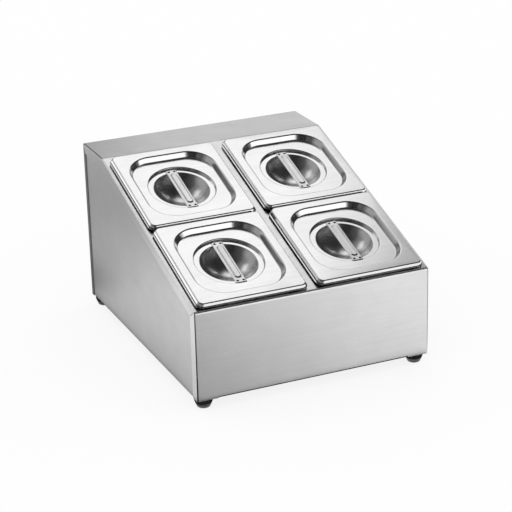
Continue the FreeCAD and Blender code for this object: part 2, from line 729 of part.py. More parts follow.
def make_lid_handle(row, column):
    handle = new_body(f"{row}_{column}_lid_handle")
    name = handle.Label
    strap = sketch_on(handle, f"{name}_strap_outline", "XY_Plane", "worked.ledge_z")
    rounded_rectangle(strap, "sizes.strap_width", "sizes.strap_length", "sizes.strap_corner")
    pad(handle, strap, f"{name}_strap", "sizes.strap_thickness")

    bead_top = "worked.ledge_z + sizes.strap_thickness"
    bead = sketch_on(handle, f"{name}_bead_outline", "XY_Plane", bead_top)
    rounded_rectangle(bead, "sizes.bead_width", "sizes.bead_length",
                      "sizes.bead_width * sizes.bead_corner_share")
    pad(handle, bead, f"{name}_bead", "sizes.bead_height")

    groove = sketch_on(handle, f"{name}_groove_outline", "XY_Plane", "worked.ledge_z")
    groove_width = "(sizes.bead_width - 2 * sizes.strap_thickness)"
    rounded_rectangle(groove, groove_width, "sizes.bead_length - 2 * sizes.strap_thickness",
                      f"{groove_width} * sizes.bead_corner_share")
    beaded = pocket(handle, groove, f"{name}_groove", "sizes.bead_height", reverse=True)
    crown = value(f"{bead_top} + sizes.bead_height")
    round_edges(handle, beaded, f"{name}_bead_round", lambda point: near(point.z, crown),
                "sizes.bead_height * sizes.bend_round_share")
    lay_on_deck(handle, "Placement", row, column)
    return handle


# The whole tray, in the order in which it is put together.
pieces = [make_top_deck(), make_front_panel(), make_back_panel()]
pieces += [make_side_panel(column) for column in COLUMNS]
pieces += [make_foot(*corner) for corner in CORNERS]
pieces.append(make_group("foot_screws", [make_foot_screw(*corner) for corner in CORNERS]))
pieces.append(make_group("foot_washers", [make_foot_washer(*corner) for corner in CORNERS]))
pieces.append(make_group("foot_nuts", [make_foot_nut(*corner) for corner in CORNERS]))
pieces += [make_pan(*corner) for corner in CORNERS]
pieces += [make_lid(*corner) for corner in CORNERS]
pieces += [make_lid_handle(*corner) for corner in CORNERS]
document.recompute()

for item in document.Objects:
    if "Invalid" in item.State or "Error" in item.State:
        raise RuntimeError(f"{item.Label} failed: {item.State}")
for piece in pieces:
    if piece.Shape.isNull() or not piece.Shape.isValid():
        raise RuntimeError(f"{piece.Label} has no valid shape")

os.makedirs("parts", exist_ok=True)
for piece in pieces:
    piece.Shape.exportStep(f"parts/{piece.Label}.step")
    print(piece.Label, len(piece.Shape.Solids), round(piece.Shape.Volume, 1))
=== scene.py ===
import math
import bmesh
import bpy
from mathutils import Matrix, Vector


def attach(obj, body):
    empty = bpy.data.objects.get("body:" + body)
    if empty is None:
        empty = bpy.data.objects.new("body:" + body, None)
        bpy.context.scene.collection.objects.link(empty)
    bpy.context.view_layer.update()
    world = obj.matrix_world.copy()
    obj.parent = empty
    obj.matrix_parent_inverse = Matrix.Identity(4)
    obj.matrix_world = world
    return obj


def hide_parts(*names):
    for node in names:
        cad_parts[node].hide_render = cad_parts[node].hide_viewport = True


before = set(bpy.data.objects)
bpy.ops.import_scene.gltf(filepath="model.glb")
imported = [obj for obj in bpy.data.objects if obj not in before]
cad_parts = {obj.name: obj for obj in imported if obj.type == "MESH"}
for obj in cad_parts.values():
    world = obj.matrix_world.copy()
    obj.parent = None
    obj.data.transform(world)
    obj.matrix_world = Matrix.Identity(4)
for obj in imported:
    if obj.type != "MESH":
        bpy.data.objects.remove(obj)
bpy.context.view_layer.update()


# Top deck: one sheet of satin stainless steel, folded at the knee between the sloping deck and the level
# strip behind it, with a flange turned down over a bevel along each side. A collar is drawn up round each of
# the four cut-outs, and the pans hang on these collars by their rims.

sheet = 0.001
side_x = 0.180
front_y, knee_y, back_y = -0.220, 0.134, 0.220
front_z, back_z = 0.148, 0.264
slope = math.atan2(back_z - front_z, knee_y - front_y)
up_deck = Vector((0, math.cos(slope), math.sin(slope)))
off_deck = Vector((0, -math.sin(slope), math.cos(slope)))
deck_edge = Vector((0, front_y, front_z))
pan_rows = {"front": 0.0917, "back": 0.2719}
pan_columns = {"left": -0.09025, "right": 0.09025}
pan_places = {}
for row_name, along in pan_rows.items():
    for column_name, across in pan_columns.items():
        seat = Matrix.Rotation(slope, 4, "X")
        seat.translation = deck_edge + up_deck * along + Vector((across, 0, 0))
        pan_places[f"{row_name}_{column_name}"] = seat


def rounded_path(points, radii, steps=6):
    """The path through the points with each inner corner rounded by its radius."""
    points = [Vector(point) for point in points]
    path = [points[0]]
    for before, corner, after, radius in zip(points, points[1:], points[2:], radii):
        back_way = (before - corner).normalized()
        on_way = (after - corner).normalized()
        half = back_way.angle(on_way) / 2
        centre = corner + (back_way + on_way).normalized() * (radius / math.sin(half))
        start = corner + back_way * (radius / math.tan(half)) - centre
        end = corner + on_way * (radius / math.tan(half)) - centre
        path += [centre + start.normalized().slerp(end.normalized(), step / steps) * radius
                 for step in range(steps + 1)]
    return path + [points[-1]]


def ring(half_x, half_y, corner, per_corner=16, per_side=16):
    """Points round a rectangle with round corners, or a circle if the corner is as large as the half."""
    spots = []
    eighth = math.radians(45)
    is_circle = corner >= min(half_x, half_y) - 1e-7
    for quarter in range(4):
        spin = quarter * math.pi / 2
        out, along = (half_x, half_y) if quarter % 2 == 0 else (half_y, half_x)
        for step in range(per_side + per_corner):
            in_corner = step >= per_side
            share = (step - per_side) / per_corner if in_corner else step / per_side
            if is_circle:
                angle = (-0.5 + share + in_corner) * eighth
                spot = Vector((math.cos(angle) * corner, math.sin(angle) * corner))
            elif in_corner:
                angle = share * math.pi / 2
                spot = Vector((out - corner + math.cos(angle) * corner,
                               along - corner + math.sin(angle) * corner))
            else:
                spot = Vector((out, (2 * share - 1) * (along - corner)))
            spot.rotate(Matrix.Rotation(spin, 2))
            spots.append(spot)
    return spots


def inset_rings(seat, outline, path, corner_share=1, **counts):
    """Rings in a pan's place: the outline drawn in along a path of insets and heights above the deck. The
    corner shrinks by its share of the inset."""
    half_x, half_y, corner = outline
    return [[seat @ Vector((*spot, height))
             for spot in ring(half_x - inset, half_y - inset, corner - corner_share * inset, **counts)]
            for inset, height in path]


def patch(shell, rows):
    """Faces between rows of points that all have the same count."""
    grid = [[shell.verts.new(point) for point in row] for row in rows]
    for row, after in zip(grid, grid[1:]):
        for index in range(len(row) - 1):
            shell.faces.new((row[index], row[index + 1], after[index + 1], after[index]))


def hoops(shell, rings, filled=False):
    """Faces between closed rings, given from the outside inwards, with a face over the last one if asked."""
    grid = [[shell.verts.new(point) for point in row] for row in rings]
    count = len(grid[0])
    for row, after in zip(grid, grid[1:]):
        for index in range(count):
            follow = (index + 1) % count
            shell.faces.new((row[index], row[follow], after[follow], after[index]))
    if filled:
        shell.faces.new(grid[-1])
    return grid


def plain_mesh(mesh, name, kind, **settings):
    """The mesh after one modifier, as a plain mesh."""
    trial = bpy.data.objects.new(name, mesh)
    bpy.context.scene.collection.objects.link(trial)
    modifier = trial.modifiers.new(kind.lower(), kind)
    for key, setting in settings.items():
        setattr(modifier, key, setting)
    view = bpy.context.evaluated_depsgraph_get()
    shaped = trial.evaluated_get(view)
    result = bpy.data.meshes.new_from_object(shaped, preserve_all_data_layers=True, depsgraph=view)
    bpy.data.objects.remove(trial)
    bpy.data.meshes.remove(mesh)
    return result


def finish_shell(shell, name, wall=0, crease=38, edge=0):
    """Thickens a surface inwards, rounds its cut edges if asked and keeps flat faces flat in the light."""
    bmesh.ops.remove_doubles(shell, verts=shell.verts, dist=1e-6)
    bmesh.ops.dissolve_degenerate(shell, edges=shell.edges, dist=1e-7)
    mesh = bpy.data.meshes.new(name)
    shell.to_mesh(mesh)
    shell.free()
    if wall:
        mesh = plain_mesh(mesh, name, "SOLIDIFY", thickness=wall, offset=-1, use_even_offset=True)
    if edge:
        mesh = plain_mesh(mesh, name, "BEVEL", width=edge, segments=3, limit_method="ANGLE",
                          angle_limit=math.radians(60))
    mesh.shade_smooth()
    mesh.set_sharp_from_angle(angle=math.radians(crease))
    mesh = plain_mesh(mesh, name, "WEIGHTED_NORMAL", weight=80, keep_sharp=True)
    mesh.name = name
    return mesh


def fit_piece(name, mesh, material, body, nodes):
    """Puts a finished mesh on its body in place of the nodes that it stands for."""
    piece = bpy.data.objects.new(name, mesh)
    bpy.context.scene.collection.objects.link(piece)
    mesh.materials.clear()
    mesh.materials.append(material)
    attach(piece, body)
    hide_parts(*nodes)


def grain_group():
    """Mill grain of rolled steel: long streaks along X of the place it is given, and soft cloudy mottling."""
    group = bpy.data.node_groups.new("steel_grain", "ShaderNodeTree")
    group.interface.new_socket("Place", in_out="INPUT", socket_type="NodeSocketVector")
    group.interface.new_socket("Streaks per metre", in_out="INPUT", socket_type="NodeSocketFloat")
    group.interface.new_socket("Streak length", in_out="INPUT", socket_type="NodeSocketFloat")
    group.interface.new_socket("Streak", in_out="OUTPUT", socket_type="NodeSocketFloat")
    group.interface.new_socket("Mottle", in_out="OUTPUT", socket_type="NodeSocketFloat")
    nodes, links = group.nodes, group.links
    inside = nodes.new("NodeGroupInput")
    outside = nodes.new("NodeGroupOutput")
    parts = nodes.new("ShaderNodeSeparateXYZ")
    links.new(inside.outputs["Place"], parts.inputs[0])
    squeeze = nodes.new("ShaderNodeMath")
    squeeze.operation = "DIVIDE"
    links.new(parts.outputs["X"], squeeze.inputs[0])
    links.new(inside.outputs["Streak length"], squeeze.inputs[1])
    joined = nodes.new("ShaderNodeCombineXYZ")
    links.new(squeeze.outputs[0], joined.inputs["X"])
    links.new(parts.outputs["Y"], joined.inputs["Y"])
    links.new(parts.outputs["Z"], joined.inputs["Z"])
    streaks = nodes.new("ShaderNodeTexNoise")
    streaks.inputs["Detail"].default_value = 5
    streaks.inputs["Roughness"].default_value = 0.62
    links.new(joined.outputs[0], streaks.inputs["Vector"])
    links.new(inside.outputs["Streaks per metre"], streaks.inputs["Scale"])
    clouds = nodes.new("ShaderNodeTexNoise")
    clouds.inputs["Scale"].default_value = 26
    clouds.inputs["Detail"].default_value = 6
    clouds.inputs["Roughness"].default_value = 0.55
    links.new(inside.outputs["Place"], clouds.inputs["Vector"])
    links.new(streaks.outputs["Fac"], outside.inputs["Streak"])
    links.new(clouds.outputs["Fac"], outside.inputs["Mottle"])
    return group


steel_grain = grain_group()


def steel(name, dark, light, smooth, rough, turn=(0, 0, 0), streaks=420, length=45, bump=0.05, drawn=None,
          painted_shade=None):
    """Stainless steel with a mill grain along X, unless it is turned. drawn is how rough it is where it is
    drawn deep, and painted_shade the dark tone of painted shade where a surface lies in shadow under a rim or
    skirt."""
    material = bpy.data.materials.new(name)
    material.use_nodes = True
    nodes, links = material.node_tree.nodes, material.node_tree.links
    surface = nodes["Principled BSDF"]
    surface.inputs["Metallic"].default_value = 1
    place = nodes.new("ShaderNodeTexCoord")
    turned = nodes.new("ShaderNodeMapping")
    turned.inputs["Rotation"].default_value = turn
    links.new(place.outputs["Object"], turned.inputs["Vector"])
    grain = nodes.new("ShaderNodeGroup")
    grain.node_tree = steel_grain
    grain.inputs["Streaks per metre"].default_value = streaks
    grain.inputs["Streak length"].default_value = length
    links.new(turned.outputs["Vector"], grain.inputs["Place"])
    mixed = nodes.new("ShaderNodeMix")
    mixed.inputs["Factor"].default_value = 0.5
    links.new(grain.outputs["Streak"], mixed.inputs["A"])
    links.new(grain.outputs["Mottle"], mixed.inputs["B"])
    grain_low, grain_high = 0.3, 0.7
    tone = nodes.new("ShaderNodeMapRange")
    tone.inputs["From Min"].default_value = grain_low
    tone.inputs["From Max"].default_value = grain_high
    links.new(mixed.outputs["Result"], tone.inputs["Value"])
    colour = nodes.new("ShaderNodeMix")
    colour.data_type = "RGBA"
    colour.inputs["A"].default_value = (*dark, 1)
    colour.inputs["B"].default_value = (*light, 1)
    links.new(tone.outputs["Result"], colour.inputs["Factor"])
    links.new(colour.outputs["Result"], surface.inputs["Base Color"])
    # Painted shade: where the mask is set, the colour is dimmed to a dark tone that stands in for shadow.
    if painted_shade:
        shade = nodes.new("ShaderNodeAttribute")
        shade.attribute_name = "painted_shade"
        dim = nodes.new("ShaderNodeMix")
        dim.data_type = "RGBA"
        links.new(shade.outputs["Fac"], dim.inputs["Factor"])
        links.new(colour.outputs["Result"], dim.inputs["A"])
        dim.inputs["B"].default_value = (painted_shade, painted_shade, painted_shade, 1)
        links.new(dim.outputs["Result"], surface.inputs["Base Color"])
    gloss = nodes.new("ShaderNodeMapRange")
    gloss.inputs["From Min"].default_value = grain_low
    gloss.inputs["From Max"].default_value = grain_high
    gloss.inputs["To Min"].default_value = rough
    gloss.inputs["To Max"].default_value = smooth
    links.new(mixed.outputs["Result"], gloss.inputs["Value"])
    links.new(gloss.outputs["Result"], surface.inputs["Roughness"])
    if drawn:
        depth = nodes.new("ShaderNodeAttribute")
        depth.attribute_name = "drawn"
        dull = nodes.new("ShaderNodeMix")
        links.new(depth.outputs["Fac"], dull.inputs["Factor"])
        links.new(gloss.outputs["Result"], dull.inputs["A"])
        dull.inputs["B"].default_value = drawn
        links.new(dull.outputs["Result"], surface.inputs["Roughness"])
    relief = nodes.new("ShaderNodeBump")
    relief.inputs["Strength"].default_value = bump
    relief.inputs["Distance"].default_value = 0.0004
    links.new(grain.outputs["Streak"], relief.inputs["Height"])
    links.new(relief.outputs["Normal"], surface.inputs["Normal"])
    return material


deck_steel = steel("deck_steel", (0.70, 0.70, 0.70), (0.78, 0.78, 0.78), smooth=0.18, rough=0.26)
deck_setback = 0.002
front_return, back_return = 0.016, 0.010
flange_depth, flange_fold = 0.0145, 0.0006
bevel_run, bevel_drop, bevel_fold = 0.0022, 0.0013, 0.0005
knee_ease = 0.0015
deck_cut_edge = 0.00048
cross_section = rounded_path([(-side_x, -flange_depth), (-side_x, -bevel_drop), (bevel_run - side_x, 0),
                              (side_x - bevel_run, 0), (side_x, -bevel_drop), (side_x, -flange_depth)],
                             [flange_fold, bevel_fold, bevel_fold, flange_fold])


def deck_row(station):
    """One row of deck points at the front, on either side of the knee or at the back, where the flanges are
    cut back to their mitres."""
    row = []
    for across, height in cross_section:
        turn_y = knee_y - height * math.tan(slope / 2)
        cut = -height / flange_depth
        if station == "front":
            y = front_y + deck_setback + (front_return - deck_setback) * cut
        elif station == "below_knee":
            y = turn_y - knee_ease * math.cos(slope)
        elif station == "behind_knee":
            y = turn_y + knee_ease
        else:
            y = back_y - deck_setback - (back_return - deck_setback) * cut
        if station in ("front", "below_knee"):
            z = front_z + (y - front_y) * math.tan(slope) + height / math.cos(slope)
        else:
            z = back_z + height
        row.append((across, y, z))
    return row


deck = bmesh.new()
rows = [deck_row(station) for station in ("front", "below_knee", "behind_knee", "back")]
half = len(cross_section) // 2
patch(deck, [row[:half] for row in rows])
patch(deck, [row[half:] for row in rows])
patch(deck, [row[half - 1:half + 1] for row in rows[1:]])

collar_outline = (0.0735, 0.0805, 0.025)
collar_height, collar_fold = 0.003, 0.001
collar_path = rounded_path([(-0.003, 0), (0, 0), (0, collar_height)], [collar_fold])[1:]
holes = []
for seat in pan_places.values():
    holes.append(hoops(deck, inset_rings(seat, collar_outline, collar_path))[0])
corners = [deck.verts.new(rows[0][half - 1]), deck.verts.new(rows[0][half]),
           deck.verts.new(rows[1][half]), deck.verts.new(rows[1][half - 1])]
rim_edges = [deck.edges.new((corners[index], corners[(index + 1) % 4])) for index in range(4)]
for hole in holes:
    rim_edges += [deck.edges.get((hole[index], hole[(index + 1) % len(hole)])) for index in range(len(hole))]
filled = bmesh.ops.triangle_fill(deck, edges=rim_edges, use_beauty=True, normal=off_deck)
for face in filled["geom"]:
    if isinstance(face, bmesh.types.BMFace) and face.normal.dot(off_deck) < 0:
        face.normal_flip()
deck_mesh = finish_shell(deck, "top_deck_sheet", sheet, edge=deck_cut_edge)
fit_piece("top_deck_sheet", deck_mesh, deck_steel, "cabinet", ["top_deck"])


# Front and back panels: satin sheets folded on all four edges, the back one coloured much darker than the
# front. Their side returns lap over the side panels and end in a mitre under the deck's flange. The top edge
# is rolled over into a return that lies under the deck, and the bottom return turns in.

base_z = 0.015
fold, corner_fold = 0.0018, 0.0022
roll_height, roll_lean, roll_start = 0.0024, 0.2, 0.006
roll_fold, crown_fold = 0.003, 0.0012
top_return, bottom_return = 0.008, 0.020
joint_gap = 0.0004
foot_flange = 0.030
panel_cut_edge = 0.0003
inner_x = side_x - 2 * sheet - joint_gap
bottom_return_x = inner_x - foot_flange


def folded_panel(name, face_y, inward, side_depth, top_face, top_inside, lean):
    """A folded panel with its outside at face_y. lean is the rise of its top return per metre inwards."""
    panel = bmesh.new()
    profile = rounded_path([(-side_x, side_depth), (-side_x, 0), (side_x, 0), (side_x, side_depth)],
                           [corner_fold, corner_fold])
    middle = len(profile) // 2
    left_end, right_start = profile[middle - 1], profile[middle]
    crown_depth = roll_lean * roll_height / (1 - roll_lean * lean)
    crown = Vector((top_face + lean * crown_depth, crown_depth))
    top_path = rounded_path([(top_face - roll_start, 0), (top_face - roll_height, 0), crown,
                             crown + Vector((lean, 1)) * top_return], [roll_fold, crown_fold])[1:]
    top_start = top_path[0][0]
    bottom_path = rounded_path([(base_z + 0.004, 0), (base_z, 0), (base_z, bottom_return)], [1.4 * fold])[1:]
    bottom_start = bottom_path[0][0]

    def at(across, depth, height):
        return (across, face_y + inward * depth, height)

    def return_top(depth):
        return top_face + (top_inside - top_face) * max(depth - sheet, 0) / (side_depth - sheet)

    for part in (profile[:middle], profile[middle:]):
        patch(panel, [[at(across, depth, base_z) for across, depth in part],
                      [at(across, depth, bottom_start) for across, depth in part],
                      [at(across, depth, min(top_start, return_top(depth))) for across, depth in part],
                      [at(across, depth, return_top(depth)) for across, depth in part]])
    marks = [left_end[0], -inner_x, -bottom_return_x, bottom_return_x, inner_x, right_start[0]]
    patch(panel, [[at(across, 0, height) for across in marks] for height in (bottom_start, top_start)])
    for ends in (marks[:3], marks[3:]):
        patch(panel, [[at(across, 0, height) for across in ends] for height in (base_z, bottom_start)])
    for ends in (marks[:2], marks[4:]):
        patch(panel, [[at(across, 0, height) for across in ends] for height in (top_start, top_face)])
    patch(panel, [[at(across, depth, height) for across in marks[1:5]] for height, depth in top_path])
    patch(panel, [[at(across, depth, height) for across in marks[2:4]]
                  for height, depth in reversed(bottom_path)])
    if inward < 0:
        bmesh.ops.reverse_faces(panel, faces=panel.faces)
    return finish_shell(panel, name, sheet, edge=panel_cut_edge)


front_steel = steel("front_steel", (0.79, 0.79, 0.79), (0.87, 0.87, 0.87), smooth=0.26, rough=0.34)
front_top = front_z - sheet / math.cos(slope)
front_mitre = front_z + front_return * math.tan(slope) - flange_depth / math.cos(slope) - joint_gap
front_mesh = folded_panel("front_panel_sheet", front_y, 1, front_return, front_top, front_mitre,
                          math.tan(slope))
fit_piece("front_panel_sheet", front_mesh, front_steel, "cabinet", ["front_panel"])

back_steel = steel("back_steel", (0.20, 0.20, 0.20), (0.26, 0.26, 0.26), smooth=0.36, rough=0.46)
back_mitre = back_z - flange_depth - joint_gap
back_mesh = folded_panel("back_panel_sheet", back_y, -1, back_return, back_z - sheet, back_mitre, 0)
fit_piece("back_panel_sheet", back_mesh, back_steel, "cabinet", ["back_panel"])


# Side panels: flat satin sheets that stand inside the returns of the other panels. Each is folded in along
# its lower edge, and that flange carries two of the feet.

side_steel = steel("side_steel", (0.61, 0.61, 0.61), (0.69, 0.69, 0.69), smooth=0.28, rough=0.36,
                   turn=(0, 0, math.pi / 2))
outside = side_x - sheet
fold_path = rounded_path([(side_x - 2 * sheet - foot_flange, base_z), (outside, base_z),
                          (outside, base_z + 0.02)], [fold])
stations = [front_y + sheet, knee_y + sheet * math.tan(slope / 2), back_y - sheet]
tops = [front_z + sheet * math.tan(slope) - sheet / math.cos(slope), back_z - sheet, back_z - sheet]
for column_name, hand in (("left", -1), ("right", 1)):
    panel = bmesh.new()
    side_rows = [[(hand * across, y, height) for y in stations] for across, height in fold_path]
    side_rows.append([(hand * outside, y, top) for y, top in zip(stations, tops)])
    patch(panel, side_rows)
    if hand < 0:
        bmesh.ops.reverse_faces(panel, faces=panel.faces)
    name = f"{column_name}_side_sheet"
    side_mesh = finish_shell(panel, name, sheet)
    fit_piece(name, side_mesh, side_steel, "cabinet", [f"{column_name}_side_panel"])


# Feet: four moulded black rubber bumpers with a rounded tip, one at each corner. A hollow in the tip hides
# the screw that holds the foot to the side panel's flange.

rubber = bpy.data.materials.new("foot_rubber")
rubber.use_nodes = True
rubber_nodes, rubber_links = rubber.node_tree.nodes, rubber.node_tree.links
rubber_surface = rubber_nodes["Principled BSDF"]
rubber_surface.inputs["Specular IOR Level"].default_value = 0.9
rubber_place = rubber_nodes.new("ShaderNodeTexCoord")
rubber_pits = rubber_nodes.new("ShaderNodeTexNoise")
rubber_pits.inputs["Scale"].default_value = 900
rubber_pits.inputs["Detail"].default_value = 3
rubber_links.new(rubber_place.outputs["Object"], rubber_pits.inputs["Vector"])
rubber_tone = rubber_nodes.new("ShaderNodeMix")
rubber_tone.data_type = "RGBA"
rubber_tone.inputs["A"].default_value = (0.010, 0.010, 0.010, 1)
rubber_tone.inputs["B"].default_value = (0.030, 0.030, 0.030, 1)
rubber_links.new(rubber_pits.outputs["Fac"], rubber_tone.inputs["Factor"])
rubber_links.new(rubber_tone.outputs["Result"], rubber_surface.inputs["Base Color"])
rubber_gloss = rubber_nodes.new("ShaderNodeMapRange")
rubber_gloss.inputs["To Min"].default_value = 0.14
rubber_gloss.inputs["To Max"].default_value = 0.26
rubber_links.new(rubber_pits.outputs["Fac"], rubber_gloss.inputs["Value"])
rubber_links.new(rubber_gloss.outputs["Result"], rubber_surface.inputs["Roughness"])
rubber_relief = rubber_nodes.new("ShaderNodeBump")
rubber_relief.inputs["Strength"].default_value = 0.1
rubber_relief.inputs["Distance"].default_value = 0.0003
rubber_links.new(rubber_pits.outputs["Fac"], rubber_relief.inputs["Height"])
rubber_links.new(rubber_relief.outputs["Normal"], rubber_surface.inputs["Normal"])

screw_radius, hollow_radius, hollow_depth, hollow_round = 0.00275, 0.0055, 0.007, 0.0004
tip_radius, tip_round = 0.0092, 0.0038
belly_radius, belly_z, belly_round = 0.0132, 0.0105, 0.005
shoulder_radius, shoulder_round = 0.0135, 0.0008
foot_profile = rounded_path([(screw_radius, hollow_depth), (hollow_radius, hollow_depth), (hollow_radius, 0),
                             (tip_radius, 0), (belly_radius, belly_z), (shoulder_radius, base_z),
                             (screw_radius, base_z)],
                            [hollow_round, hollow_round, tip_round, belly_round, shoulder_round])
around = 48
foot_turns = [math.tau * step / around for step in range(around)]
foot_rings = [[(radius * math.cos(turn), radius * math.sin(turn), height) for turn in foot_turns]
              for radius, height in foot_profile + foot_profile[:1]]
foot_shell = bmesh.new()
hoops(foot_shell, foot_rings)
bmesh.ops.remove_doubles(foot_shell, verts=foot_shell.verts, dist=1e-6)
bmesh.ops.recalc_face_normals(foot_shell, faces=foot_shell.faces)
foot_mesh = finish_shell(foot_shell, "foot_pattern")


def spread(name, spots, pattern, material, tilt=0.0):
    """A copy of the pattern mesh at each spot, turned by tilt about X, as one plain mesh."""
    points = bpy.data.meshes.new(name)
    points.from_pydata(spots, [], [])
    holder = bpy.data.objects.new(name, points)
    sample = bpy.data.objects.new(name + "_pattern", pattern)
    for item in (holder, sample):
        bpy.context.scene.collection.objects.link(item)
    tree = bpy.data.node_groups.new(name, "GeometryNodeTree")
    tree.interface.new_socket("Spots", in_out="INPUT", socket_type="NodeSocketGeometry")
    wanted = {"Pattern": ("NodeSocketObject", sample), "Tilt": ("NodeSocketFloat", tilt),
              "Finish": ("NodeSocketMaterial", material)}
    ids = {label: tree.interface.new_socket(label, in_out="INPUT", socket_type=kind).identifier
           for label, (kind, _) in wanted.items()}
    tree.interface.new_socket("Pieces", in_out="OUTPUT", socket_type="NodeSocketGeometry")
    nodes, links = tree.nodes, tree.links
    inside = nodes.new("NodeGroupInput")
    outside_end = nodes.new("NodeGroupOutput")
    fetch = nodes.new("GeometryNodeObjectInfo")
    links.new(inside.outputs["Pattern"], fetch.inputs["Object"])
    turn = nodes.new("ShaderNodeCombineXYZ")
    links.new(inside.outputs["Tilt"], turn.inputs["X"])
    place = nodes.new("GeometryNodeInstanceOnPoints")
    links.new(inside.outputs["Spots"], place.inputs["Points"])
    links.new(fetch.outputs["Geometry"], place.inputs["Instance"])
    links.new(turn.outputs[0], place.inputs["Rotation"])
    real = nodes.new("GeometryNodeRealizeInstances")
    links.new(place.outputs["Instances"], real.inputs["Geometry"])
    painted = nodes.new("GeometryNodeSetMaterial")
    links.new(real.outputs["Geometry"], painted.inputs["Geometry"])
    links.new(inside.outputs["Finish"], painted.inputs["Material"])
    links.new(painted.outputs["Geometry"], outside_end.inputs["Pieces"])
    modifier = holder.modifiers.new("spread", "NODES")
    modifier.node_group = tree
    for label, (_, setting) in wanted.items():
        modifier[ids[label]] = setting
    view = bpy.context.evaluated_depsgraph_get()
    shaped = holder.evaluated_get(view)
    result = bpy.data.meshes.new_from_object(shaped, preserve_all_data_layers=True, depsgraph=view)
    bpy.data.objects.remove(holder)
    bpy.data.objects.remove(sample)
    bpy.data.node_groups.remove(tree)
    result.name = name
    return result


foot_inset = 0.015
foot_x, foot_y = side_x - foot_inset, back_y - foot_inset
foot_spots = [(x, y, 0) for y in (-foot_y, foot_y) for x in (-foot_x, foot_x)]
feet_mesh = spread("rubber_feet", foot_spots, foot_mesh, rubber)
fit_piece("rubber_feet", feet_mesh, rubber, "cabinet",
          ["front_left_foot", "front_right_foot", "back_left_foot", "back_right_foot"])


# Foot fasteners: zinc-plated screws, washers and nuts that clamp the feet to the flanges. They sit in the
# hollows of the feet and above the flanges, and keep the solids' own shapes.

zinc = steel("zinc_plate", (0.46, 0.46, 0.47), (0.60, 0.60, 0.61), smooth=0.32, rough=0.5, streaks=900,
             length=2)
for node_name in ("foot_screws", "foot_washers", "foot_nuts"):
    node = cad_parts[node_name]
    node.data.materials.clear()
    node.data.materials.append(zinc)


# Pans: deep-drawn sixth-size tubs of bright steel with tapering walls and a rounded floor. Each hangs in its
# cut-out by a flat rim, whose chamfered edge is turned down in a short lip. The rim's underside is painted
# dark as shade for the gap under it.

pan_steel = steel("pan_steel", (0.78, 0.78, 0.78), (0.86, 0.86, 0.86), smooth=0.18, rough=0.26, streaks=300,
                  length=6, bump=0.03, painted_shade=0.03)
pan_wall, pan_depth, pan_taper = 0.0008, 0.100, 0.010
rim_top = collar_height + pan_wall
rim_outline = (0.0838, 0.088, 0.009)
rim_under_x, rim_under_y = 0.0725, 0.0795
lip_end = collar_height - 0.0004
chamfer_run, chamfer_drop = 0.0014, 0.0009
lip_path = rounded_path([(0, lip_end), (0, rim_top - chamfer_drop), (chamfer_run, rim_top),
                         (0.006, rim_top)], [0.0002, 0.0004])[:-1]
tub_outline = (0.0705, 0.0775, 0.022)
tub_floor = rim_top - pan_depth + pan_wall
mouth_round, floor_round = 0.0022, 0.0095
tub_path = rounded_path([(-0.004, rim_top), (0, rim_top), (pan_taper, tub_floor), (0.034, tub_floor)],
                        [mouth_round, floor_round], steps=8)
for place_name, seat in pan_places.items():
    pan = bmesh.new()
    pan_rings = inset_rings(seat, rim_outline, lip_path)
    pan_rings += inset_rings(seat, tub_outline, tub_path, corner_share=0.4)
    hoops(pan, pan_rings, filled=True)
    name = f"{place_name}_tub"
    pan_mesh = finish_shell(pan, name, pan_wall)
    # Painted shade: the rim's underside and its lip are marked for a dark tone that stands in for the shadow
    # under the rim.
    painted_shade = pan_mesh.attributes.new("painted_shade", "FLOAT", "POINT")
    to_seat = seat.inverted()
    for vertex, shade in zip(pan_mesh.vertices, painted_shade.data):
        spot = to_seat @ vertex.co
        in_rim = abs(spot.x) > rim_under_x or abs(spot.y) > rim_under_y
        shade.value = in_rim and vertex.normal.dot(off_deck) < -0.3
    fit_piece(name, pan_mesh, pan_steel, f"{place_name}_pan_body", [f"{place_name}_pan"])


# Lids: one bright pressing each. The flared skirt stands on a set-back foot, so that a shadow gap runs round
# above the pan's rim, and the foot in that gap is painted dark as shade. Inside the skirt a rounded square
# recess steps down to a round ledge, and a deep bowl, drawn a little duller, makes room for the fingers under
# the strap.

lid_steel = steel("lid_steel", (0.80, 0.80, 0.80), (0.86, 0.86, 0.86), smooth=0.14, rough=0.19, streaks=260,
                  length=30, bump=0.02, drawn=0.26, painted_shade=0.02)
lid_wall = 0.0008
lid_top = rim_top + 0.0058
floor_z = lid_top - 0.008
ledge_z = floor_z - 0.0037
skirt_outline = (0.0822, 0.0890, 0.0097)
skirt_under_x, skirt_under_y = 0.0775, 0.0843
skirt_foot = rim_top + 0.0016
skirt_flare, skirt_crown = 0.0021, 0.0002
skirt_hem, skirt_bend = 0.0002, 0.0021
skirt_path = rounded_path([(0.0034, rim_top), (0.0030, skirt_foot), (0, skirt_foot),
                           (skirt_flare, lid_top - skirt_crown), (0.0125, lid_top)],
                          [skirt_hem, skirt_hem, skirt_bend], steps=7)[:-1]
recess_outline = (0.067, 0.0735, 0.040)
recess_run = 0.0044
recess_edge, recess_foot = 0.0026, 0.0014
recess_path = rounded_path([(-0.0030, lid_top), (0, lid_top), (recess_run, floor_z), (0.0090, floor_z)],
                           [recess_edge, recess_foot], steps=8)
well_radius = 0.0498
well_edge, well_foot = 0.0016, 0.0004
well_path = rounded_path([(0.0535, floor_z), (well_radius, floor_z), (well_radius, ledge_z),
                          (0.0460, ledge_z)], [well_edge, well_foot], steps=8)
bowl_radius, bowl_depth = 0.0415, 0.022
bowl_lip, bowl_edge = 0.003, 0.0012
bowl_steps, bowl_middle = 28, 0.0008
ball = (bowl_radius ** 2 + bowl_depth ** 2) / (2 * bowl_depth)
edge_angle = math.asin(bowl_radius / ball)
